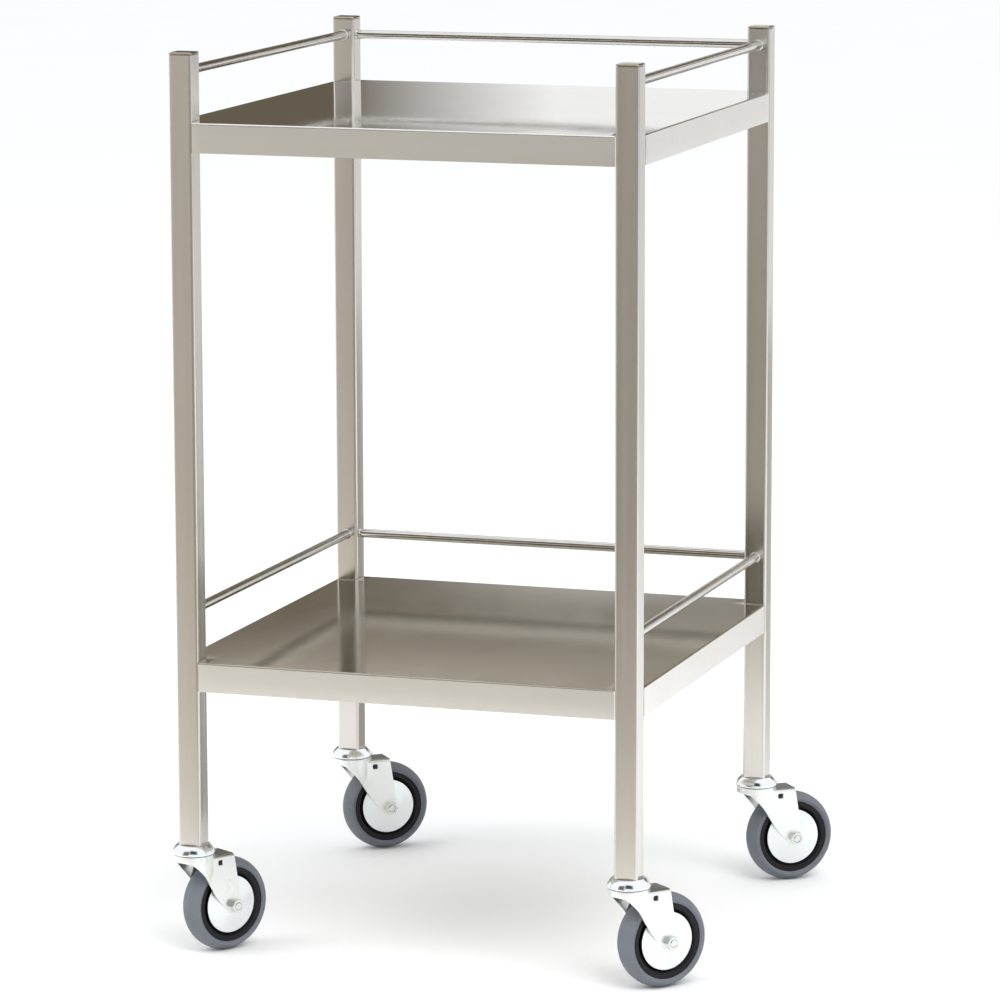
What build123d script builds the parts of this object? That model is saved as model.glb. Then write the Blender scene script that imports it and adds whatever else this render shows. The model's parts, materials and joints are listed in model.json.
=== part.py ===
from build123d import *
import os

# Instrument cart: a welded frame of square posts, two folded shelf pans and round guard rails,
# standing on four swivel castors. Millimetres. +X runs to the right along the open front, +Y to
# the back and +Z up. The castors stand turned, each by its own angle, as the cart was last left.

# Frame
WIDTH = 504.0              # over the posts, left to right
DEPTH = 514.0              # over the posts, front to back
HEIGHT = 954.5             # floor to the top of the post caps
POST = 25.0                # square post, outside
POST_WALL = 1.5
POST_CORNER = 3.0          # outside corner radius of the post
POST_FOOT = 120.5          # floor to the bottom of the posts, which is the castors' height
CAP_PLATE = 3.0            # part of a post cap that stands above the post
CAP_BEVEL = 1.4
CAP_SKIRT = 12.0           # depth of the cap's skirt inside the post
CAP_WALL = 1.2
SLIP_FIT = 0.05            # gap a side between a post's bore and what is pushed into it

# Shelves and rails
SHELF_TOPS = {"lower": 317.5, "upper": 882.5}
APRON = 31.0               # height of a shelf's folded edge
SHEET = 1.2
BEND = 2.0                 # outside bend radius
WELD_LENGTH = 14.0         # each apron end is welded to its post over this height from the top
RELIEF = 1.0               # slit between apron and post below the weld
RAIL_DIAMETER = 10.0
RAIL_RISE = 51.8           # shelf surface to rail axis

# Castor head
TRAIL_ANGLES = {           # direction from king pin to wheel at rest, degrees from +X
    "front_left": 58.1, "front_right": 49.3, "back_left": 39.5, "back_right": 38.8,
}
TRAIL = 39.6               # king pin axis to axle axis
PIN_RADIUS = 6.0
PIN_RUNNING_GAP = 0.08
PIN_HEAD_RADIUS = 9.0
PIN_HEAD_BOTTOM = 102.6
PIN_HEAD_TOP = 106.0
PIN_RECESS_RADIUS = 14.0   # room around the head under the crown
STUD_RADIUS = 5.0          # thread that holds the expander
STUD_LENGTH = 55.0
EXPANDER_LENGTH = 45.0
EXPANDER_SLOT = 2.0
RACE_FLAT_RADIUS = 17.0    # flat that the post stands on
RACE_RIM_RADIUS = 22.8
RACE_RIM_TOP = 111.5
RACE_RIM_BOTTOM = 110.3
RACE_BULGE = 0.9           # how far the flared skirt bows out
RACE_SHEET = 2.5
BALL_RADIUS = 3.0
BALL_COUNT = 12
BALL_CIRCLE = 14.0         # radius of the ball track
BALL_GAP = 0.3             # between the balls and the upper race

# Fork
CROWN_RADIUS = 21.6
CROWN_INNER_RADIUS = 18.4
CROWN_FOOT = 102.5
CROWN_SHOULDER = 109.4
CROWN_SHOULDER_RADIUS = 19.4
CROWN_TOP = 112.2
CROWN_TOP_RADIUS = 17.5
CROWN_SOFFIT = 106.4       # underside of the crown around the king pin
FORK_TOP = 106.4
FORK_FLAT = 12.3           # half the width of the top plate's level middle
FORK_SHOULDER = 1.5        # how far the top plate falls from there to each leg
FORK_HALF_WIDTH = 18.0     # outside of a leg from the wheel's middle plane
FORK_SHEET = 2.5
FORK_BEND = 2.8
FORK_REAR = 40.2           # where a leg's rear edge meets the top plate
PLATE_REAR = 41.5          # rear edge of the top plate
BARREL_FOOT = 68.0         # the round front round the crown fades into the flat legs here
BARREL_TOP = 90.0          # and has the crown's full radius from here up
LEG_FRONT = (-21.6, 102.9) # lower edge of the round front, from king pin and floor
LEG_CURVE = ((-13.5, 101.2), (-4.0, 91.4), (6.2, 78.0), (14.3, 65.1), (20.6, 56.7), (32.4, 44.2))
BOSS_RADIUS = 9.3          # round lower end of a leg
LEG_HOLE = (22.0, 98.8)    # centre of the lock's fixing hole, from king pin and floor
LEG_HOLE_SIZE = (6.2, 5.2)
LEG_HOLE_CORNER = 1.2

# Wheel and axle
WHEEL_RADIUS = 50.0
AXLE_HEIGHT = WHEEL_RADIUS
SEAT_RADIUS = 40.0         # where the tyre sits on the core
SEAT_HALF_WIDTH = 12.2
TYRE_HALF_WIDTH = 14.2
TYRE_BULGE_RADIUS = 43.2   # radius at which the tyre is widest
SHOULDER_RADIUS = 45.4     # where the tread meets the side
SHOULDER_HALF_WIDTH = 12.6
SHOULDER_ROUNDING = 0.25
RIM_RADIUS = 35.0
RIM_HALF_WIDTH = 11.7
DISH_RADIUS = 31.6
DISH_HALF_WIDTH = 7.0
WEB_HALF_WIDTH = 4.0
HUB_RADIUS = 10.0
HUB_HALF_WIDTH = 13.5
GUARD_RADIUS = 30.6        # thread guard disc
GUARD_FLANGE_RADIUS = 27.0
GUARD_CENTRE_RADIUS = 9.0
GUARD_FACE = 11.35         # outside face of the guard's flange from the middle plane
GUARD_SHEET = 1.2
BUSH_RADIUS = 6.0
BUSH_RUNNING_GAP = 0.06
BOLT_RADIUS = 4.0          # M8 axle bolt
BOLT_CLEARANCE = 0.15
BOLT_END = 25.0            # end of the thread from the middle plane
BOLT_CHAMFER = 0.7
HEX_FLATS = 13.0
HEX_BEVEL = 0.8            # height of the corners' bevel, and how far out its cone reaches
HEX_BEVEL_WIDTH = 1.6
HEAD_HEIGHT = 5.3
NUT_HEIGHT = 6.5
NUT_LEAD = 0.5             # countersink of the nut's thread

POST_X = (WIDTH - POST) / 2
POST_Y = (DEPTH - POST) / 2
CORNERS = {
    "front_left": (-POST_X, -POST_Y), "front_right": (POST_X, -POST_Y),
    "back_left": (-POST_X, POST_Y), "back_right": (POST_X, POST_Y),
}
BORE = POST - 2 * POST_WALL
BORE_CORNER = POST_CORNER - POST_WALL
LEG_INSIDE = FORK_HALF_WIDTH - FORK_SHEET


def bar(outline, bottom, top):
    """A flat outline pulled up from one height to another."""
    return extrude(Plane.XY.offset(bottom) * outline, top - bottom)


def turned(points):
    """A solid of revolution about Z from straight runs between (radius, height) points."""
    return revolve(Plane.XZ * make_face(Polyline(*points, close=True)), Axis.Z)


# ---------------------------------------------------------------- frame

def post():
    tube = RectangleRounded(POST, POST, POST_CORNER) - RectangleRounded(BORE, BORE, BORE_CORNER)
    return bar(tube, POST_FOOT, HEIGHT - CAP_PLATE)


def post_cap():
    """A pressed cap: a bevelled plate on a hollow skirt that plugs the post."""
    seat = HEIGHT - CAP_PLATE
    plate = bar(RectangleRounded(POST, POST, POST_CORNER), seat, HEIGHT)
    plate = chamfer(plate.faces().sort_by(Axis.Z)[-1].edges(), CAP_BEVEL)
    plug = BORE - 2 * SLIP_FIT
    inside = plug - 2 * CAP_WALL
    skirt = RectangleRounded(plug, plug, BORE_CORNER) - Rectangle(inside, inside)
    return plate + bar(skirt, seat - CAP_SKIRT, seat)


def pan_block(width, depth, height, bend):
    """A block with a square bite out of each corner and its long upper edges rounded."""
    plan = Rectangle(width, DEPTH - 2 * POST) + Rectangle(WIDTH - 2 * POST, depth)
    block = bar(plan, 0, height)
    top = block.faces().sort_by(Axis.Z)[-1].edges()
    sides = top.filter_by_position(Axis.X, -width / 2, -width / 2)
    sides += top.filter_by_position(Axis.X, width / 2, width / 2)
    sides += top.filter_by_position(Axis.Y, -depth / 2, -depth / 2)
    sides += top.filter_by_position(Axis.Y, depth / 2, depth / 2)
    return fillet(sides, bend)


def shelf(top):
    """A sheet pan with its four edges folded down, notched round the posts."""
    pan = pan_block(WIDTH, DEPTH, APRON, BEND)
    pan -= pan_block(WIDTH - 2 * SHEET, DEPTH - 2 * SHEET, APRON - SHEET, BEND - SHEET)
    slit_height = APRON - WELD_LENGTH
    for side_x in (-1, 1):
        for side_y in (-1, 1):
            slit = Pos(0, 0, slit_height / 2) * Box(RELIEF, 2 * SHEET, slit_height)
            pan -= Pos(side_x * (WIDTH / 2 - POST - RELIEF / 2), side_y * DEPTH / 2, 0) * slit
            slit = Pos(0, 0, slit_height / 2) * Box(2 * SHEET, RELIEF, slit_height)
            pan -= Pos(side_x * WIDTH / 2, side_y * (DEPTH / 2 - POST - RELIEF / 2), 0) * slit
    return Pos(0, 0, top - APRON) * pan


def side_rail(side_x, height):
    rail = Rot(90, 0, 0) * Cylinder(RAIL_DIAMETER / 2, DEPTH - 2 * POST)
    return Pos(side_x * POST_X, 0, height) * rail


def back_rail(height):
    rail = Rot(0, 90, 0) * Cylinder(RAIL_DIAMETER / 2, WIDTH - 2 * POST)
    return Pos(0, POST_Y, height) * rail


# ------------------------------------------------- castor, trailing along +X from its king pin

def king_pin():
    """Headed pin that holds the castor together, with the stud that the expander screws on to."""
    pin = bar(Circle(PIN_HEAD_RADIUS), PIN_HEAD_BOTTOM, PIN_HEAD_TOP)
    pin += bar(Circle(PIN_RADIUS), PIN_HEAD_TOP, POST_FOOT)
    return pin + bar(Circle(STUD_RADIUS), POST_FOOT, POST_FOOT + STUD_LENGTH)


def stem_expander():
    """Slotted block that the stud spreads inside the post."""
    side = BORE - 2 * SLIP_FIT
    top = POST_FOOT + EXPANDER_LENGTH
    block = bar(RectangleRounded(side, side, BORE_CORNER) - Circle(STUD_RADIUS), POST_FOOT, top)
    slots = Rectangle(EXPANDER_SLOT, BORE) + Rectangle(BORE, EXPANDER_SLOT)
    return block - bar(slots, top - EXPANDER_LENGTH / 2, top)


def upper_race():
    """Pressed cap with a flat top and a flared skirt, which covers the ball track."""
    flat_inside = RACE_FLAT_RADIUS - RACE_SHEET / 2
    rim_inside = RACE_RIM_RADIUS - RACE_SHEET
    soffit = POST_FOOT - RACE_SHEET
    middle = (RACE_FLAT_RADIUS + RACE_RIM_RADIUS) / 2 + RACE_BULGE
    middle_inside = (flat_inside + rim_inside) / 2 + RACE_BULGE
    skirt_height = (POST_FOOT + RACE_RIM_TOP) / 2 + RACE_BULGE
    outline = [
        Line((PIN_RADIUS, POST_FOOT), (RACE_FLAT_RADIUS, POST_FOOT)),
        ThreePointArc((RACE_FLAT_RADIUS, POST_FOOT), (middle, skirt_height),
                      (RACE_RIM_RADIUS, RACE_RIM_TOP)),
        Line((RACE_RIM_RADIUS, RACE_RIM_TOP), (RACE_RIM_RADIUS, RACE_RIM_BOTTOM)),
        Line((RACE_RIM_RADIUS, RACE_RIM_BOTTOM), (rim_inside, RACE_RIM_BOTTOM)),
        Line((rim_inside, RACE_RIM_BOTTOM), (rim_inside, RACE_RIM_TOP)),
        ThreePointArc((rim_inside, RACE_RIM_TOP),
                      (middle_inside, (soffit + RACE_RIM_TOP) / 2 + RACE_BULGE),
                      (flat_inside, soffit)),
        Line((flat_inside, soffit), (PIN_RADIUS, soffit)),
        Line((PIN_RADIUS, soffit), (PIN_RADIUS, POST_FOOT)),
    ]
    return revolve(Plane.XZ * make_face(outline), Axis.Z)


def swivel_balls():
    centre = POST_FOOT - RACE_SHEET - BALL_GAP - BALL_RADIUS
    ring = PolarLocations(BALL_CIRCLE, BALL_COUNT)
    balls = [Pos(0, 0, centre) * place * Sphere(BALL_RADIUS) for place in ring]
    return Compound(children=balls)


def crown():
    """Round head of the fork: lower race on top, hollow under, bored for the king pin."""
    bore = PIN_RADIUS + PIN_RUNNING_GAP
    head = turned([
        (bore, CROWN_TOP), (CROWN_TOP_RADIUS, CROWN_TOP),
        (CROWN_SHOULDER_RADIUS, CROWN_SHOULDER), (CROWN_RADIUS, CROWN_SHOULDER),
        (CROWN_RADIUS, CROWN_FOOT), (CROWN_INNER_RADIUS, CROWN_FOOT),
        (CROWN_INNER_RADIUS, CROWN_SOFFIT), (bore, CROWN_SOFFIT),
    ])
    ball_centre = POST_FOOT - RACE_SHEET - BALL_GAP - BALL_RADIUS
    return head - Pos(0, 0, ball_centre) * Torus(BALL_CIRCLE, BALL_RADIUS)


def leg_outline():
    """The fork seen from the side: a curved leading edge, a round foot and a straight back."""
    foot_bottom = (TRAIL, AXLE_HEIGHT - BOSS_RADIUS)
    foot_end = (TRAIL + BOSS_RADIUS, AXLE_HEIGHT)
    outline = [
        Line(LEG_FRONT, LEG_CURVE[0]),
        Spline(*LEG_CURVE),
        ThreePointArc(LEG_CURVE[-1], foot_bottom, foot_end),
        Polyline(foot_end, (FORK_REAR, FORK_TOP - FORK_SHEET), (PLATE_REAR, FORK_TOP),
                 (LEG_FRONT[0], FORK_TOP), LEG_FRONT),
    ]
    lock_hole = Pos(*LEG_HOLE) * RectangleRounded(*LEG_HOLE_SIZE, LEG_HOLE_CORNER)
    axle_hole = Pos(TRAIL, AXLE_HEIGHT) * Circle(BOLT_RADIUS + BOLT_CLEARANCE)
    return make_face(outline) - lock_hole - axle_hole


def channel(inset):
    """The fork's outside, or its inside when inset by the sheet: straight legs and a round front."""
    side, top = FORK_HALF_WIDTH - inset, FORK_TOP - inset
    across = Polyline((-side, 0), (-side, top - FORK_SHOULDER), (-FORK_FLAT, top), (FORK_FLAT, top),
                      (side, top - FORK_SHOULDER), (side, 0), close=True)
    legs = extrude(Plane.YZ * make_face(across), TRAIL + BOSS_RADIUS + FORK_SHEET)
    bends = legs.edges().filter_by(Axis.X).filter_by_position(Axis.Z, 1, top - FORK_SHOULDER / 2)
    legs = fillet(bends, FORK_BEND - inset)
    front = CROWN_RADIUS - inset
    return legs + turned([(0, BARREL_FOOT), (side, BARREL_FOOT), (front, BARREL_TOP), (front, top),
                          (0, top)])


def fork():
    """Pressed channel that straddles the wheel, joined to its round crown."""
    side_view = extrude(Plane.XZ * leg_outline(), CROWN_RADIUS, both=True)
    shell = (side_view & channel(0)) - channel(FORK_SHEET)
    pin_recess = bar(Circle(PIN_RECESS_RADIUS), CROWN_FOOT, CROWN_SOFFIT)
    return shell - pin_recess + crown()


# ------------------------------------------- wheel and axle, turned about Z and then laid down

def on_axle(shape):
    """Lays a shape turned about +Z along the axle, with +Z to the nut's side."""
    return Pos(TRAIL, 0, AXLE_HEIGHT) * Rot(90, 0, 0) * shape


def mirrored(half):
    """The closed outline of (radius, height) points whose upper half is given."""
    return half + [(radius, -height) for radius, height in reversed(half)]


def wheel_core():
    return on_axle(turned(mirrored([
        (BUSH_RADIUS + BUSH_RUNNING_GAP, HUB_HALF_WIDTH), (HUB_RADIUS, HUB_HALF_WIDTH),
        (HUB_RADIUS, WEB_HALF_WIDTH), (DISH_RADIUS, WEB_HALF_WIDTH),
        (DISH_RADIUS, DISH_HALF_WIDTH), (RIM_RADIUS, RIM_HALF_WIDTH),
        (SEAT_RADIUS, RIM_HALF_WIDTH),
    ])))


def tyre():
    """Solid rubber ring with a rounded tread and sides that lean in to the rim."""
    shoulder_middle = ((TYRE_BULGE_RADIUS + SHOULDER_RADIUS) / 2 + SHOULDER_ROUNDING,
                       (TYRE_HALF_WIDTH + SHOULDER_HALF_WIDTH) / 2 + SHOULDER_ROUNDING)
    outline = [
        Line((SEAT_RADIUS, -SEAT_HALF_WIDTH), (SEAT_RADIUS, SEAT_HALF_WIDTH)),
        ThreePointArc((SHOULDER_RADIUS, SHOULDER_HALF_WIDTH), (WHEEL_RADIUS, 0),
                      (SHOULDER_RADIUS, -SHOULDER_HALF_WIDTH)),
    ]
    for side in (1, -1):
        bulge = (TYRE_BULGE_RADIUS, side * TYRE_HALF_WIDTH)
        middle = (shoulder_middle[0], side * shoulder_middle[1])
        outline += [
            Line((SEAT_RADIUS, side * SEAT_HALF_WIDTH), bulge),
            ThreePointArc(bulge, middle, (SHOULDER_RADIUS, side * SHOULDER_HALF_WIDTH)),
        ]
    return on_axle(revolve(Plane.XZ * make_face(outline), Axis.Z))


def thread_guards():
    """The pair of dished discs clamped between the bush and the legs."""
    hole = BOLT_RADIUS + BOLT_CLEARANCE
    disc = turned([
        (hole, LEG_INSIDE), (GUARD_CENTRE_RADIUS, LEG_INSIDE),
        (GUARD_FLANGE_RADIUS, GUARD_FACE), (GUARD_RADIUS, GUARD_FACE),
        (GUARD_RADIUS, GUARD_FACE - GUARD_SHEET),
        (GUARD_FLANGE_RADIUS, GUARD_FACE - GUARD_SHEET),
        (GUARD_CENTRE_RADIUS, LEG_INSIDE - GUARD_SHEET), (hole, LEG_INSIDE - GUARD_SHEET),
    ])
    return Compound(children=[on_axle(disc), on_axle(Rot(180, 0, 0) * disc)])


def wheel_bush():
    length = LEG_INSIDE - GUARD_SHEET
    return on_axle(bar(Circle(BUSH_RADIUS) - Circle(BOLT_RADIUS + BOLT_CLEARANCE), -length, length))


def hexagon(inside, height):
    """Hexagonal prism standing on Z = 0 with its corners bevelled off, round the given inside."""
    flats, corners = HEX_FLATS / 2, HEX_FLATS / 2 + HEX_BEVEL_WIDTH
    prism = bar(RegularPolygon(flats, 6, major_radius=False), 0, height)
    return prism & turned(inside + [(flats, 0), (corners, HEX_BEVEL), (corners, height - HEX_BEVEL),
                                    (flats, height)])


def axle_bolt():
    shank = bar(Circle(BOLT_RADIUS), -FORK_HALF_WIDTH, BOLT_END)
    shank = chamfer(shank.faces().sort_by(Axis.Z)[-1].edges(), BOLT_CHAMFER)
    head = hexagon([(0, HEAD_HEIGHT), (0, 0)], HEAD_HEIGHT)
    return on_axle(shank + Pos(0, 0, -FORK_HALF_WIDTH) * Rot(180, 0, 0) * head)


def axle_nut():
    """Nut on the bolt's thread, countersunk at both ends."""
    lead = BOLT_RADIUS + NUT_LEAD
    inside = [(lead, NUT_HEIGHT), (BOLT_RADIUS, NUT_HEIGHT - NUT_LEAD), (BOLT_RADIUS, NUT_LEAD),
              (lead, 0)]
    return on_axle(Pos(0, 0, FORK_HALF_WIDTH) * hexagon(inside, NUT_HEIGHT))


# ---------------------------------------------------------------- assembly

def cart():
    """Every sub-part by its name, about the middle of the frame."""
    parts = {}
    for corner, (x, y) in CORNERS.items():
        parts[f"{corner}_post"] = Pos(x, y, 0) * post()
        parts[f"{corner}_post_cap"] = Pos(x, y, 0) * post_cap()
        parts[f"{corner}_stem_expander"] = Pos(x, y, 0) * stem_expander()
        castor = Pos(x, y, 0) * Rot(0, 0, TRAIL_ANGLES[corner])
        for make in CASTOR_PARTS:
            parts[f"{corner}_{make.__name__}"] = castor * make()
    for level, top in SHELF_TOPS.items():
        rail_height = top + RAIL_RISE
        parts[f"{level}_shelf"] = shelf(top)
        parts[f"{level}_left_rail"] = side_rail(-1, rail_height)
        parts[f"{level}_right_rail"] = side_rail(1, rail_height)
        parts[f"{level}_back_rail"] = back_rail(rail_height)
    return parts


CASTOR_PARTS = (king_pin, upper_race, swivel_balls, fork, wheel_core, tyre, thread_guards,
                wheel_bush, axle_bolt, axle_nut)

# The origin is on the floor under the middle of the whole cart as it stands.
PARTS = cart()
BOXES = [shape.bounding_box() for shape in PARTS.values()]
MIDDLE_X = (min(box.min.X for box in BOXES) + max(box.max.X for box in BOXES)) / 2
MIDDLE_Y = (min(box.min.Y for box in BOXES) + max(box.max.Y for box in BOXES)) / 2

os.makedirs("parts", exist_ok=True)
for name, shape in PARTS.items():
    export_step(Pos(-MIDDLE_X, -MIDDLE_Y, 0) * shape, f"parts/{name}.step")
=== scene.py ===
import json
import math

import bmesh
import bpy
from mathutils import Matrix, Vector


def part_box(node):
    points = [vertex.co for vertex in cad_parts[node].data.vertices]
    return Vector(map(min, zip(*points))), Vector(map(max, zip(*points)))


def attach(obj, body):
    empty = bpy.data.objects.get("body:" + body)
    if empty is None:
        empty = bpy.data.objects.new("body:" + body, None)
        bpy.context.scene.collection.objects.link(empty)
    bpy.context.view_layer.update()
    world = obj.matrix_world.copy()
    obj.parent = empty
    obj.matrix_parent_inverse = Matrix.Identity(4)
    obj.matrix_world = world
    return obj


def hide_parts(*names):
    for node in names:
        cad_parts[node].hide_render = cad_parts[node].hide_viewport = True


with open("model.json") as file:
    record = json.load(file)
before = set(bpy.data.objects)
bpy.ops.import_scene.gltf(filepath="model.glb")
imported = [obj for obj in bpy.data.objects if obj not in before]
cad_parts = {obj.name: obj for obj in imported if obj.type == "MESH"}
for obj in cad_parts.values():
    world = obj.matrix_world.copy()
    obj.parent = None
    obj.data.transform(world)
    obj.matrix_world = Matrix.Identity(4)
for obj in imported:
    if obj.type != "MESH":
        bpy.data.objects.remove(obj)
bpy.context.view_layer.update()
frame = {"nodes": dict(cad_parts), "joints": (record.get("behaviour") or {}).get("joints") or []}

MM = 0.001
CORNERS = ("front_left", "front_right", "back_left", "back_right")
LEVELS = ("upper", "lower")
SIDES = ("left", "right", "back")


# ---------------------------------------------------------------- the frame's own measures

def middle(node):
    low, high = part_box(node)
    return (low + high) / 2


def joint(name):
    return next(j for j in frame["joints"] if j["name"] == name)


CART_MIDDLE = middle("upper_shelf")
POST_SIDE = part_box("front_left_post")[1].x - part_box("front_left_post")[0].x


def castor_place(corner):
    """The castor's own frame: its king pin is the Z axis and it trails along +X."""
    pin = Vector(joint(f"{corner}_swivel")["pos_m"])
    axle = Vector(joint(f"{corner}_wheel_spin")["pos_m"])
    trail = axle - pin
    angle = math.atan2(trail.y, trail.x)
    return Matrix.Translation((pin.x, pin.y, 0)) @ Matrix.Rotation(angle, 4, "Z")


def axle_place(corner):
    """The wheel's own frame: the axle is the Z axis, with +Z to the nut's side."""
    pin = Vector(joint(f"{corner}_swivel")["pos_m"])
    axle = Vector(joint(f"{corner}_wheel_spin")["pos_m"])
    trail = math.hypot(axle.x - pin.x, axle.y - pin.y)
    lying = Matrix.Translation((trail, 0, axle.z)) @ Matrix.Rotation(math.pi / 2, 4, "X")
    return castor_place(corner) @ lying


# ---------------------------------------------------------------- mesh helpers

def new_object(name, mesh):
    obj = bpy.data.objects.new(name, mesh)
    bpy.context.scene.collection.objects.link(obj)
    return obj


def finish_mesh(bm, name, crease=32.0):
    """Turns a bmesh into a mesh that is smooth except at creases sharper than the angle."""
    bmesh.ops.recalc_face_normals(bm, faces=bm.faces)
    mesh = bpy.data.meshes.new(name)
    bm.to_mesh(mesh)
    bm.free()
    mesh.polygons.foreach_set("use_smooth", [True] * len(mesh.polygons))
    mesh.set_sharp_from_angle(angle=math.radians(crease))
    return mesh


def bow(start, end, bulge, steps=8):
    """Points from start to end of a curve that bows out to its left by the bulge."""
    across, up = end[0] - start[0], end[1] - start[1]
    length = math.hypot(across, up)
    points = []
    for i in range(steps + 1):
        t = i / steps
        out = 4 * bulge * t * (1 - t) / length
        points.append((start[0] + across * t - up * out, start[1] + up * t + across * out))
    return points


def add_lathe(bm, profile, segments=96, place=Matrix()):
    """Adds a closed solid of revolution about Z from a closed loop of (radius, height), in mm."""
    rings = []
    for step in range(segments):
        angle = 2 * math.pi * step / segments
        across, along = math.cos(angle) * MM, math.sin(angle) * MM
        rings.append([bm.verts.new(place @ Vector((r * across, r * along, z * MM)))
                      for r, z in profile])
    for step in range(segments):
        ring, following = rings[step], rings[(step + 1) % segments]
        for i in range(len(profile)):
            j = (i + 1) % len(profile)
            bm.faces.new((ring[i], ring[j], following[j], following[i]))


def lathe(name, profile, segments=96, crease=32.0):
    bm = bmesh.new()
    add_lathe(bm, profile, segments)
    return finish_mesh(bm, name, crease)


def both_sides(half):
    """Closes an outline of (radius, height) whose upper half is given."""
    return half + [(r, -z) for r, z in reversed(half)]


def rounded_square(side, radius, z, steps=6):
    """Corners of a square with rounded corners, in mm, at a height."""
    points = []
    for quarter in range(4):
        turn = math.pi / 2 * quarter
        x, y = side / 2 - radius, side / 2 - radius
        centre = Matrix.Rotation(turn, 2) @ Vector((x, y))
        for i in range(steps + 1):
            angle = turn + math.pi / 2 * i / steps
            points.append((centre.x + radius * math.cos(angle), centre.y + radius * math.sin(angle), z))
    return points


# ---------------------------------------------------------------- material helpers

class Graph:
    """A node material under construction."""

    def __init__(self, name):
        self.material = bpy.data.materials.new(name)
        self.material.use_nodes = True
        self.tree = self.material.node_tree
        self.shader = self.tree.nodes["Principled BSDF"]

    def add(self, kind, **settings):
        node = self.tree.nodes.new(kind)
        for key, value in settings.items():
            setattr(node, key, value)
        return node

    def link(self, output, socket):
        self.tree.links.new(output, socket)

    def set(self, **values):
        """Constants on the shader's own sockets; underscores stand for spaces."""
        for key, value in values.items():
            self.shader.inputs[key.replace("_", " ")].default_value = value

    def place(self, scale=(1, 1, 1)):
        coords = self.add("ShaderNodeTexCoord").outputs["Object"]
        mapping = self.add("ShaderNodeMapping")
        mapping.inputs["Scale"].default_value = scale
        self.link(coords, mapping.inputs["Vector"])
        return mapping.outputs["Vector"]

    def axis(self, letter):
        split = self.add("ShaderNodeSeparateXYZ")
        self.link(self.add("ShaderNodeTexCoord").outputs["Object"], split.inputs[0])
        return split.outputs[letter]

    def noise(self, scale, detail=3.0, stretch=(1, 1, 1), roughness=0.5, distortion=0.0):
        node = self.add("ShaderNodeTexNoise")
        node.inputs["Scale"].default_value = scale
        node.inputs["Detail"].default_value = detail
        node.inputs["Roughness"].default_value = roughness
        node.inputs["Distortion"].default_value = distortion
        self.link(self.place(stretch), node.inputs["Vector"])
        return node.outputs["Fac"]

    def ramp(self, value, *stops):
        """Colours by position: each stop is (position, (r, g, b)) or (position, grey)."""
        node = self.add("ShaderNodeValToRGB")
        elements = node.color_ramp.elements
        while len(elements) < len(stops):
            elements.new(0.5)
        for element, (position, colour) in zip(elements, stops):
            element.position = position
            grey = isinstance(colour, (int, float))
            element.color = (colour,) * 3 + (1,) if grey else (*colour, 1)
        self.link(value, node.inputs["Fac"])
        return node.outputs["Color"]

    def span(self, value, low, high, low_in=0.0, high_in=1.0):
        node = self.add("ShaderNodeMapRange")
        for key, number in (("From Min", low_in), ("From Max", high_in),
                            ("To Min", low), ("To Max", high)):
            node.inputs[key].default_value = number
        self.link(value, node.inputs["Value"])
        return node.outputs["Result"]

    def math(self, operation, first, second):
        node = self.add("ShaderNodeMath", operation=operation)
        for socket, value in zip(node.inputs, (first, second)):
            if isinstance(value, (int, float)):
                socket.default_value = value
            else:
                self.link(value, socket)
        return node.outputs["Value"]

    def mix(self, factor, first, second, blend="MIX"):
        node = self.add("ShaderNodeMix", data_type="RGBA", blend_type=blend)
        sockets = (node.inputs[0], node.inputs[6], node.inputs[7])
        for socket, value in zip(sockets, (factor, first, second)):
            if isinstance(value, (int, float)):
                socket.default_value = value
            elif isinstance(value, tuple):
                socket.default_value = (*value, 1)
            else:
                self.link(value, socket)
        return node.outputs[2]

    def bump(self, height, strength, distance):
        node = self.add("ShaderNodeBump")
        node.inputs["Strength"].default_value = strength
        node.inputs["Distance"].default_value = distance
        self.link(height, node.inputs["Height"])
        return node.outputs["Normal"]

    def finish(self, colour=None, roughness=None, normal=None):
        for socket, value in (("Base Color", colour), ("Roughness", roughness),
                              ("Normal", normal)):
            if value is not None:
                self.link(value, self.shader.inputs[socket])
        return self.material


def grained_steel(name, tone, grain, roughness, grain_depth=0.00002):
    """Stainless steel with a fine brushed grain; grain is the stretch of its noise."""
    g = Graph(name)
    g.set(Metallic=1.0)
    streak = g.noise(900, 4, grain)
    broad = g.noise(60, 3, grain)
    cloud = g.noise(7, 2)
    dark, light = tuple(0.90 * c for c in tone), tuple(min(1.0, 1.07 * c) for c in tone)
    colour = g.ramp(broad, (0.25, dark), (0.75, light))
    colour = g.mix(0.25, colour, g.ramp(streak, (0.3, dark), (0.7, light)))
    colour = g.mix(g.span(cloud, 0.0, 0.16, 0.3, 0.8), colour, tuple(0.82 * c for c in tone))
    rough = g.span(broad, *roughness, 0.3, 0.7)
    return g.finish(colour, rough, g.bump(streak, 0.35, grain_depth))


def post_steel():
    return grained_steel("post_steel", (0.70, 0.675, 0.635), (1, 1, 0.012), (0.17, 0.25))


def rail_steel():
    return grained_steel("rail_steel", (0.76, 0.745, 0.72), (1, 1, 1), (0.10, 0.17))


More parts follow.
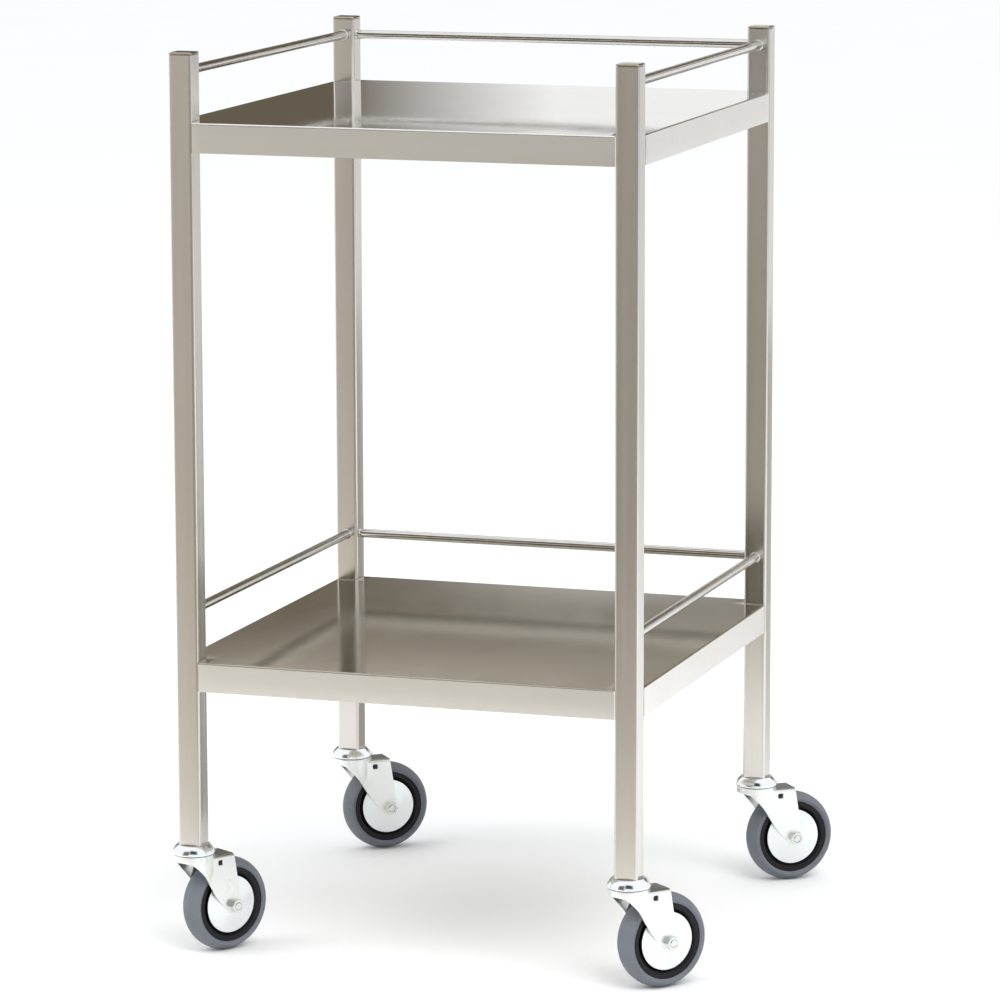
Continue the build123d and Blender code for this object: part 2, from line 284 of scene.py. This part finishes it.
def sheet_steel(name, deck_top, deck_tone_and_shade, deck_roughness):
    """Rolled sheet: a deck of the given tone, which on the lower shelf carries painted shade, and satin
    aprons folded down from it.
    """
    apron_tone = (0.86, 0.845, 0.81)
    g = Graph(name)
    g.set(Metallic=1.0)
    deck = g.span(g.axis("Z"), 0.0, 1.0, deck_top - BEND, deck_top - BEND / 3)
    rolling = g.noise(120, 3, (0.02, 1, 1))
    wipes = g.noise(9, 4, (1, 0.5, 1), 0.55, 1.2)
    scratches = g.noise(700, 2, (0.015, 1, 1), 0.7, 0.4)
    # The deck's tone; the lower deck's is darkened with painted shade.
    tone = g.mix(deck, apron_tone, deck_tone_and_shade)
    dull = g.mix(1.0, tone, (0.93, 0.925, 0.915), "MULTIPLY")
    colour = g.mix(g.ramp(rolling, (0.3, 0.35), (0.7, 0.0)), tone, dull)
    colour = g.mix(g.span(wipes, 0.0, 0.5, 0.4, 0.75), colour, dull)
    low, high = deck_roughness
    deck_rough = g.math("ADD", g.span(wipes, low, high, 0.35, 0.7), g.span(scratches, 0, 0.02, 0.55, 0.8))
    apron_rough = g.span(wipes, 0.34, 0.40, 0.35, 0.7)
    rough = g.mix(deck, apron_rough, deck_rough)
    return g.finish(colour, rough, g.bump(rolling, 0.05, 0.00002))


def zinc(name, tone, roughness, mottle=0.04, dark_on_top=False):
    """Bright zinc plate over pressed steel, with its soft spangle; one asked for it gets its up-facing
    faces painted darker.
    """
    g = Graph(name)
    g.set(Metallic=1.0)
    cloud = g.noise(55, 4, (1, 1, 1), 0.6)
    fine = g.noise(900, 3)
    cool = (tone[0] * 0.96, tone[1] * 0.99, tone[2])
    warm = (tone[0], tone[1] * 0.985, tone[2] * 0.93)
    colour = g.ramp(cloud, (0.3, cool), (0.55, tone), (0.8, warm))
    rough = g.span(cloud, roughness - mottle, roughness + mottle, 0.3, 0.7)
    if dark_on_top:
        # Up-facing faces, found by their normal, are painted darker, to 0.30 of the tone.
        split = g.add("ShaderNodeSeparateXYZ")
        g.link(g.add("ShaderNodeNewGeometry").outputs["Normal"], split.inputs[0])
        top_darkening = g.span(split.outputs["Z"], 0.0, 1.0, 0.80, 0.97)
        colour = g.mix(top_darkening, colour, tuple(0.30 * c for c in tone))
    return g.finish(colour, rough, g.bump(fine, 0.12, 0.00003))


def rubber():
    """Grey castor rubber, faintly cloudy and scuffed."""
    dark, light = (0.115, 0.125, 0.148), (0.155, 0.165, 0.188)
    g = Graph("grey_rubber")
    cloud = g.noise(40, 4)
    scuff = g.noise(320, 5, (1, 1, 1), 0.65)
    colour = g.mix(0.4, g.ramp(cloud, (0.3, dark), (0.7, light)), g.ramp(scuff, (0.3, dark), (0.7, light)))
    rough = g.span(scuff, 0.48, 0.60, 0.3, 0.7)
    return g.finish(colour, rough, g.bump(scuff, 0.3, 0.00010))


def plastic(name, tone, roughness):
    g = Graph(name)
    g.shader.inputs["Specular IOR Level"].default_value = 0.25
    cloud = g.noise(80, 3)
    fine = g.noise(2200, 2)
    colour = g.ramp(cloud, (0.3, tuple(0.8 * c for c in tone)), (0.7, tuple(1.25 * c for c in tone)))
    rough = g.span(cloud, roughness - 0.05, roughness + 0.08, 0.3, 0.7)
    return g.finish(colour, rough, g.bump(fine, 0.2, 0.00004))


SHEET = 1.2 * MM
BEND = 2.0 * MM
UPPER_TOP, LOWER_TOP = (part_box(f"{level}_shelf")[1].z for level in LEVELS)

MATERIALS = {
    "post_steel": post_steel(),
    "rail_steel": rail_steel(),
    # The caps' dark warm tone is a painted reflection of the brown room around them.
    "cap_steel": zinc("cap_steel", (0.47, 0.41, 0.33), 0.14, 0.03),
    "race_chrome": zinc("race_chrome", (0.90, 0.92, 0.94), 0.17, 0.03),
    # The fork's up-facing faces are painted darker.
    "zinc_steel": zinc("zinc_steel", (0.88, 0.89, 0.87), 0.30, dark_on_top=True),
    "guard_zinc": zinc("guard_zinc", (0.88, 0.90, 0.91), 0.30),
    "bolt_zinc": zinc("bolt_zinc", (0.74, 0.75, 0.72), 0.24),
    "ball_steel": zinc("ball_steel", (0.75, 0.76, 0.78), 0.08, 0.02),
    "core_plastic": plastic("core_plastic", (0.006, 0.006, 0.007), 0.42),
    "expander_plastic": plastic("expander_plastic", (0.03, 0.03, 0.03), 0.5),
    "grey_rubber": rubber(),
    "upper_sheet": sheet_steel("upper_sheet", UPPER_TOP, (0.93, 0.925, 0.91), (0.05, 0.08)),
    # The lower deck is darker than its own aprons: painted shade from the upper shelf over it.
    "lower_sheet": sheet_steel("lower_sheet", LOWER_TOP, (0.52, 0.49, 0.41), (0.12, 0.15)),
}


def dress(obj, material):
    obj.data.materials.clear()
    obj.data.materials.append(MATERIALS[material])


def added(name, mesh, body, material, place=None):
    """A finished piece that rides on a body."""
    if place is not None:
        mesh.transform(place)
    piece = new_object(name, mesh)
    dress(piece, material)
    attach(piece, body)
    return piece


def stand_in(mesh, node, body, material, place=None):
    """A finished piece that is shown in place of the CAD node of the same name."""
    piece = added(f"{node}_finished", mesh, body, material, place)
    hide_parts(node)
    return piece


# ---------------------------------------------------------------- shelves

CROWN = 1.2 * MM           # a pressed sheet stands a little proud of its edges
CROWN_POWER = 2.6          # and is nearly level in its middle


def section(half, apron, bend_steps=6, deck_steps=40):
    """(offset, drop) across a shelf: apron, bend, strip beside the posts, deck and back."""
    inner = half - POST_SIDE
    side = [(half, -apron), (half, -apron / 2), (half, -1.3 * BEND), (half, -BEND)]
    for i in range(1, bend_steps + 1):
        angle = math.pi / 2 * i / bend_steps
        side.append((half - BEND + BEND * math.cos(angle), -BEND + BEND * math.sin(angle)))
    side.append((half - 1.3 * BEND, 0.0))
    side.append(((half - BEND + inner) / 2, 0.0))
    deck = [(inner - 2 * inner * i / deck_steps, 0.0) for i in range(deck_steps + 1)]
    return side + deck + [(-offset, drop) for offset, drop in reversed(side)]


def shelf_mesh(node):
    low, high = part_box(node)
    centre, top, apron = (low + high) / 2, high.z, high.z - low.z
    half_x, half_y = (high.x - low.x) / 2, (high.y - low.y) / 2
    inner_x, inner_y = half_x - POST_SIDE, half_y - POST_SIDE
    columns, rows = section(half_x, apron), section(half_y, apron)
    bm = bmesh.new()
    grid = {}

    def vertex(i, j):
        if (i, j) not in grid:
            (x, drop_x), (y, drop_y) = columns[i], rows[j]
            rise = (1 - abs(x / half_x) ** CROWN_POWER) * (1 - abs(y / half_y) ** CROWN_POWER)
            z = top + drop_x + drop_y + CROWN * max(0.0, rise)
            grid[i, j] = bm.verts.new((centre.x + x, centre.y + y, z))
        return grid[i, j]

    for i in range(len(columns) - 1):
        for j in range(len(rows) - 1):
            beside_x = abs(columns[i][0] + columns[i + 1][0]) / 2 > inner_x
            beside_y = abs(rows[j][0] + rows[j + 1][0]) / 2 > inner_y
            if not (beside_x and beside_y):
                bm.faces.new((vertex(i, j), vertex(i, j + 1), vertex(i + 1, j + 1), vertex(i + 1, j)))
    return finish_mesh(bm, node)


def thicken(shelf):
    solid = shelf.modifiers.new("sheet", "SOLIDIFY")
    solid.thickness = SHEET
    solid.offset = -1
    solid.use_even_offset = True
    shading = shelf.modifiers.new("shading", "WEIGHTED_NORMAL")
    shading.keep_sharp = True


for level in LEVELS:
    node = f"{level}_shelf"
    thicken(stand_in(shelf_mesh(node), node, "frame", f"{level}_sheet"))


# ---------------------------------------------------------------- posts, caps and rails

CAP_SKIRT_SIDE = 21.4      # mm, inside the post
CAP_LEVELS = (             # (side, corner radius, height over the post's end), in mm
    (CAP_SKIRT_SIDE, 1.2, -10.0), (CAP_SKIRT_SIDE, 1.2, 0.6), (24.4, 2.7, 0.6), (24.85, 2.9, 0.8),
    (25.0, 3.0, 1.15), (25.0, 3.0, 1.7), (24.8, 2.9, 1.9), (22.6, 1.9, 2.75), (22.1, 1.7, 2.88),
    (21.4, 1.5, 2.92), (12.0, 0.9, 2.96),
)


def cap_mesh():
    """Pressed cap, standing on the end of its post at Z = 0: skirt, shadow gap, bevel, top."""
    bm = bmesh.new()
    rings = []
    for side, radius, z in CAP_LEVELS:
        rings.append([bm.verts.new(Vector(p) * MM) for p in rounded_square(side, radius, z)])
    count = len(rings[0])
    for lower, upper in zip(rings, rings[1:]):
        for i in range(count):
            j = (i + 1) % count
            bm.faces.new((lower[i], lower[j], upper[j], upper[i]))
    crown = bm.verts.new((0, 0, CAP_LEVELS[-1][2] * MM))
    for i in range(count):
        bm.faces.new((rings[-1][i], rings[-1][(i + 1) % count], crown))
    bm.faces.new(reversed(rings[0]))
    return finish_mesh(bm, "post_cap")


# Outline of a weld as (radius, distance from the post), in mm.
WELD = [(4.5, 0.05), (5.8, 0.05), (5.4, 0.3), (5.15, 0.7), (4.98, 1.2), (4.5, 1.2)]
WELD_SEGMENTS, WELD_CREASE = 32, 60


def rail_welds():
    """A small coved weld round each rail end, where it meets its post."""
    bm = bmesh.new()
    for level in LEVELS:
        for side in SIDES:
            low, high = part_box(f"{level}_{side}_rail")
            centre, half = (low + high) / 2, (high - low) / 2
            along = max(range(3), key=lambda i: half[i])
            for sign in (-1, 1):
                end = centre.copy()
                end[along] += sign * half[along]
                inward = Vector((0, 0, 0))
                inward[along] = -sign
                facing = inward.to_track_quat("Z", "Y").to_matrix().to_4x4()
                add_lathe(bm, WELD, WELD_SEGMENTS, Matrix.Translation(end) @ facing)
    return finish_mesh(bm, "rail_welds", WELD_CREASE)


CAP = cap_mesh()
for corner in CORNERS:
    nodes = frame["nodes"]
    low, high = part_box(f"{corner}_post")
    dress(nodes[f"{corner}_post"], "post_steel")
    dress(nodes[f"{corner}_king_pin"], "zinc_steel")
    dress(nodes[f"{corner}_stem_expander"], "expander_plastic")
    place = Matrix.Translation(((low.x + high.x) / 2, (low.y + high.y) / 2, high.z))
    stand_in(CAP.copy(), f"{corner}_post_cap", "frame", "cap_steel", place)
for level in LEVELS:
    for side in SIDES:
        dress(frame["nodes"][f"{level}_{side}_rail"], "rail_steel")
added("rail_welds", rail_welds(), "frame", "rail_steel")


# ---------------------------------------------------------------- castors

TREAD_RADIUS, TREAD_CENTRE, TREAD_ANGLE = 19.56, 30.44, 40.1   # the tread's arc, mm and degrees
TREAD_STEPS = 14
MOULD_LINE = [(49.93, 0.7), (49.97, 0.25)]                     # nearly flat middle of the tread
TYRE_SEGMENTS, TYRE_CREASE = 128, 40

FORK_VOXEL = 0.45          # mm
FORK_SMOOTHING = 3         # rounds
FORK_FACES_KEPT = 0.25     # of the remeshed faces


def race_mesh():
    """The flared cap over the balls, standing in the castor's own frame."""
    outside = [(6.0, 120.5), (16.4, 120.5)] + bow((17.0, 120.4), (22.75, 111.9), 1.0)
    lip = [(22.8, 111.2), (22.7, 110.6), (22.3, 110.3), (20.8, 110.3), (20.4, 110.6)]
    inside = bow((20.3, 111.5), (15.8, 118.0), -0.9) + [(6.0, 118.0)]
    return lathe("upper_race", outside + lip + inside)


def tyre_mesh():
    """Rubber ring: sides that lean out, rounded shoulders with a groove, an arched tread."""
    half = [(40.0, 12.1), (40.5, 12.5)] + bow((40.9, 12.8), (43.2, 14.2), 0.1, 4)
    half += bow((43.5, 14.15), (45.1, 13.0), 0.15, 4) + [(45.35, 12.55)]
    for i in range(1, TREAD_STEPS + 1):
        angle = math.radians(TREAD_ANGLE * (1 - i / TREAD_STEPS))
        half.append((TREAD_CENTRE + TREAD_RADIUS * math.cos(angle), TREAD_RADIUS * math.sin(angle)))
    half[-2:] = MOULD_LINE
    return lathe("tyre", both_sides(half), TYRE_SEGMENTS, TYRE_CREASE)


def core_mesh():
    half = [(6.06, 13.2), (6.4, 13.5), (9.5, 13.5), (10.0, 13.0), (10.0, 4.8), (10.8, 4.0),
            (30.8, 4.0), (31.6, 4.8), (31.6, 7.0), (33.0, 9.2), (34.6, 11.2), (35.4, 11.7),
            (39.5, 11.7), (40.0, 11.2)]
    return lathe("wheel_core", both_sides(half))


def guards_mesh():
    """Two dished discs, one each side of the wheel."""
    disc = [(4.15, 15.5), (8.5, 15.5), (9.3, 15.32), (26.2, 11.62), (27.2, 11.38), (30.1, 11.35),
            (30.5, 11.15), (30.6, 10.75), (30.4, 10.3), (30.0, 10.15), (27.1, 10.15), (26.1, 10.4),
            (9.2, 14.1), (8.4, 14.3), (4.15, 14.3)]
    bm = bmesh.new()
    add_lathe(bm, disc)
    add_lathe(bm, disc, place=Matrix.Rotation(math.pi, 4, "X"))
    return finish_mesh(bm, "thread_guards")


def fork_mesh(corner):
    """The CAD fork with its pressed edges softened, in the castor's own frame."""
    mesh = frame["nodes"][f"{corner}_fork"].data.copy()
    mesh.transform(castor_place(corner).inverted())
    rough = new_object("fork_rough", mesh)
    remesh = rough.modifiers.new("remesh", "REMESH")
    remesh.mode = "VOXEL"
    remesh.voxel_size = FORK_VOXEL * MM
    smooth = rough.modifiers.new("smooth", "SMOOTH")
    smooth.factor = 0.5
    smooth.iterations = FORK_SMOOTHING
    fewer = rough.modifiers.new("fewer", "DECIMATE")
    fewer.ratio = FORK_FACES_KEPT
    graph = bpy.context.evaluated_depsgraph_get()
    soft = bpy.data.meshes.new_from_object(rough.evaluated_get(graph))
    bpy.data.objects.remove(rough)
    soft.polygons.foreach_set("use_smooth", [True] * len(soft.polygons))
    return soft


RACE, TYRE, CORE, GUARDS, FORK = race_mesh(), tyre_mesh(), core_mesh(), guards_mesh(), fork_mesh(CORNERS[0])

for corner in CORNERS:
    nodes = frame["nodes"]
    castor, wheel = f"{corner}_castor", f"{corner}_wheel"
    upright, axle = castor_place(corner), axle_place(corner)
    stand_in(RACE.copy(), f"{corner}_upper_race", "frame", "race_chrome", upright)
    stand_in(FORK.copy(), f"{corner}_fork", castor, "zinc_steel", upright)
    stand_in(GUARDS.copy(), f"{corner}_thread_guards", castor, "guard_zinc", axle)
    stand_in(CORE.copy(), f"{corner}_wheel_core", wheel, "core_plastic", axle)
    stand_in(TYRE.copy(), f"{corner}_tyre", wheel, "grey_rubber", axle)
    dress(nodes[f"{corner}_swivel_balls"], "ball_steel")
    dress(nodes[f"{corner}_wheel_bush"], "ball_steel")
    dress(nodes[f"{corner}_axle_bolt"], "bolt_zinc")
    dress(nodes[f"{corner}_axle_nut"], "bolt_zinc")


# ---------------------------------------------------------------- floor, light and camera

def flat(name, corners):
    """One flat face through the given corners."""
    bm = bmesh.new()
    bm.faces.new([bm.verts.new(corner) for corner in corners])
    mesh = bpy.data.meshes.new(name)
    bm.to_mesh(mesh)
    bm.free()
    obj = new_object(name, mesh)
    return obj


def only_reflected(obj):
    """Seen in the metal, and by nothing else."""
    obj.visible_camera = False
    obj.visible_diffuse = False
    obj.visible_shadow = False
    obj.visible_transmission = False
    obj.visible_volume_scatter = False


def emission(name, make_colour):
    """A material that only glows, with the colour that make_colour builds in its graph."""
    g = Graph(name)
    g.tree.nodes.remove(g.shader)
    glow = g.add("ShaderNodeEmission")
    g.link(make_colour(g), glow.inputs["Color"])
    g.link(glow.outputs[0], g.tree.nodes["Material Output"].inputs["Surface"])
    return g.material


FLOOR = 60.0               # half of its side, m


def build_floor():
    floor = flat("floor", ((-FLOOR, -FLOOR, 0), (FLOOR, -FLOOR, 0), (FLOOR, FLOOR, 0), (-FLOOR, FLOOR, 0)))
    g = Graph("floor")
    g.set(Roughness=0.9)
    g.shader.inputs["Specular IOR Level"].default_value = 0.0
    g.finish(g.ramp(g.noise(3, 2), (0.0, 0.92), (1.0, 0.94)))
    floor.data.materials.append(g.material)


# What the metal reflects, in metres: behind the cart a white backdrop with brown room to its left
# and over it and a lamp strip in that, towards the camera a warm floor, brown room and a dark
# opening, and behind to the right two grey patches of floor.
FAR = 20.0                 # distance of the backdrop, and of the room towards the camera
SIDE = 30.0                # how far the cards reach sideways
BACKDROP_LEFT, BACKDROP_RIGHT = -6.93, 12.0
BACKDROP_TOP = 3.0         # the room over it begins here
SOFT_EDGE = 0.6            # half the width of the backdrop's left edge
GROUND_GAP = 0.002         # ground cards lie this far over the floor
WARM_FLOOR_NEAR, WARM_FLOOR_FAR = -0.7, -40.0
BROWN = (0.128, 0.108, 0.076)
LAMP = (0.95, 0.90, 0.82)
HALF_LAMP = (0.36, 0.335, 0.285)
BACKDROP = (0.90, 0.90, 0.90)


def upright_card(name, left, right, low, high, y, make_colour):
    card = flat(name, ((left, y, low), (right, y, low), (right, y, high), (left, y, high)))
    card.data.materials.append(emission(name, make_colour))
    only_reflected(card)


def ground_card(name, corners, make_colour):
    card = flat(name, [(x, y, GROUND_GAP) for x, y in corners])
    card.data.materials.append(emission(name, make_colour))
    only_reflected(card)


def backdrop(g):
    """The white backdrop, with brown room to its left."""
    edge = g.span(g.axis("X"), 0.0, 1.0, BACKDROP_LEFT - SOFT_EDGE, BACKDROP_LEFT + SOFT_EDGE)
    return g.mix(edge, BROWN, BACKDROP)


def room_over(g):
    """Brown over the backdrop, then a lamp strip, then brown again."""
    height = g.axis("Z")
    over = g.ramp(g.span(height, 0.0, 1.0, 4.0, 9.0),
                  (0.16, BROWN), (0.20, HALF_LAMP), (0.26, LAMP), (0.36, LAMP), (0.46, BROWN))
    return g.mix(g.span(height, 0.0, 1.0, 3.65, 3.95), backdrop(g), over)


def room_front(g):
    """Brown room towards the camera."""
    return g.ramp(g.noise(1, 1), (0.0, BROWN), (1.0, tuple(1.2 * c for c in BROWN)))


def opening(g):
    """The dark opening over the camera."""
    return g.ramp(g.noise(1, 1), (0.0, (0.03, 0.035, 0.05)), (1.0, (0.06, 0.065, 0.09)))


def warm_floor(g):
    """Brighter near the cart and towards the left."""
    turn = g.math("DIVIDE", g.axis("X"), g.axis("Y"))
    far = g.ramp(g.span(turn, 0.0, 1.0, 0.26, 0.42), (0.0, (0.34, 0.315, 0.27)), (1.0, (0.60, 0.56, 0.49)))
    nearness = g.span(g.axis("Y"), 0.0, 1.0, -2.6, WARM_FLOOR_NEAR)
    near = g.ramp(nearness, (0.0, 0.0), (0.55, 0.35), (1.0, 1.0))
    return g.mix(near, far, (0.94, 0.90, 0.82))


def grey(g):
    return g.ramp(g.noise(1, 1), (0.0, (0.40, 0.385, 0.36)), (1.0, (0.44, 0.42, 0.40)))


def build_reflections():
    upright_card("backdrop", -SIDE, BACKDROP_RIGHT, 0.0, BACKDROP_TOP, FAR, backdrop)
    upright_card("room_over", -SIDE, BACKDROP_RIGHT, BACKDROP_TOP, 13.0, FAR, room_over)
    upright_card("room_front", -17, -2.5, 2.2, 20.0, -FAR, room_front)
    upright_card("dark_opening", -1.0, 17.0, 8.0, 28.0, -FAR, opening)
    near, far = WARM_FLOOR_NEAR, WARM_FLOOR_FAR
    ground_card("warm_floor", ((-SIDE, far), (SIDE, far), (SIDE, near), (-SIDE, near)), warm_floor)
    ground_card("grey_near", ((-0.4, 0.30), (0.19, 0.30), (1.70, 4.6), (-0.4, 4.6)), grey)
    ground_card("grey_far", ((2.0, 4.9), (SIDE, 4.9), (SIDE, 19.5), (6.9, 19.5)), grey)


def build_world():
    world = bpy.data.worlds.new("studio")
    world.use_nodes = True
    world.node_tree.nodes["Background"].inputs["Color"].default_value = (0.97, 0.985, 1.0, 1)
    world.node_tree.nodes["Background"].inputs["Strength"].default_value = 1.06
    bpy.context.scene.world = world


def area_light(name, place, aim, size, power):
    data = bpy.data.lights.new(name, "AREA")
    data.shape = "DISK"
    data.size = size
    data.energy = power
    light = bpy.data.objects.new(name, data)
    bpy.context.scene.collection.objects.link(light)
    light.location = place
    light.rotation_euler = (Vector(aim) - Vector(place)).to_track_quat("-Z", "Y").to_euler()
    light.visible_glossy = False


CAMERA_FROM_CART = Vector((1.7269, -5.152, 1.401))   # from the floor under the cart's middle
CAMERA_AZIMUTH, CAMERA_ELEVATION, CAMERA_ROLL = 18.676, 9.855, -0.188   # degrees
FOCAL_LENGTH, SENSOR = 185.1, 36.0                   # mm
CAMERA_SHIFT = (0.0309, 0.0023)


def build_camera():
    data = bpy.data.cameras.new("camera")
    data.sensor_width = SENSOR
    data.lens = FOCAL_LENGTH
    data.shift_x, data.shift_y = CAMERA_SHIFT
    camera = bpy.data.objects.new("camera", data)
    bpy.context.scene.collection.objects.link(camera)
    turn = Matrix.Rotation(math.radians(CAMERA_AZIMUTH), 4, "Z")
    tip = Matrix.Rotation(math.radians(90 - CAMERA_ELEVATION), 4, "X")
    roll = Matrix.Rotation(math.radians(CAMERA_ROLL), 4, "Z")
    place = CAMERA_FROM_CART + Vector((CART_MIDDLE.x, CART_MIDDLE.y, 0))
    camera.matrix_world = Matrix.Translation(place) @ turn @ tip @ roll
    bpy.context.scene.camera = camera


build_floor()
build_reflections()
build_world()
LIGHT_AIM, LIGHT_SIZE = (0, 0, 0.3), 3.0
area_light("key", (2.5, -2.5, 4.0), LIGHT_AIM, LIGHT_SIZE, 110)
area_light("fill", (-3.0, -2.0, 3.5), LIGHT_AIM, LIGHT_SIZE, 50)
build_camera()
bpy.context.scene.view_settings.view_transform = "Standard"
